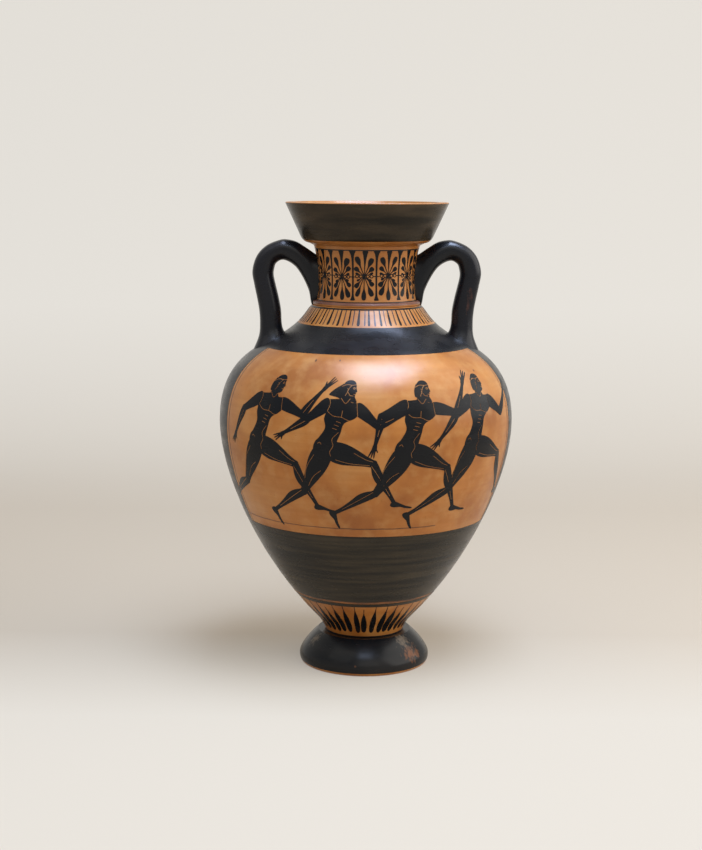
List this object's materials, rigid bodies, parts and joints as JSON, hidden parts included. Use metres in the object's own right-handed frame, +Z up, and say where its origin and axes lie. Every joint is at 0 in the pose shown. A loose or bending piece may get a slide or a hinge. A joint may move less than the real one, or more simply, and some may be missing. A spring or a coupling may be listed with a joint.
{
  "type": "panathenaic amphora",
  "caption": "Tall two-handled black-figure amphora with an echinus foot, wide belly, conical shoulder, short neck and flaring mouth.",
  "frame": {"origin": "centre of the circle that the foot rests on", "axes": "+Z up along the axis of the body, +X towards the right handle, -Y towards the viewer"},
  "size_m": [0.3906, 0.3906, 0.6212],
  "materials": {
    "gloss_foot": "fired black gloss with worn patches",
    "clay_body": "orange clay, burnished to a low sheen",
    "red_ring": "matt red wash over the ring",
    "clay_neck": "orange clay, burnished to a low sheen",
    "gloss_mouth": "thin brownish black gloss",
    "gloss_handles": "deep blue-black gloss"
  },
  "bodies": {
    "root": {"foot": "gloss_foot", "lower_body": "clay_body", "upper_body": "clay_body", "neck_ring": "red_ring", "neck": "clay_neck", "mouth": "gloss_mouth", "handle_left": "gloss_handles", "handle_right": "gloss_handles"}
  },
  "joints": []
}
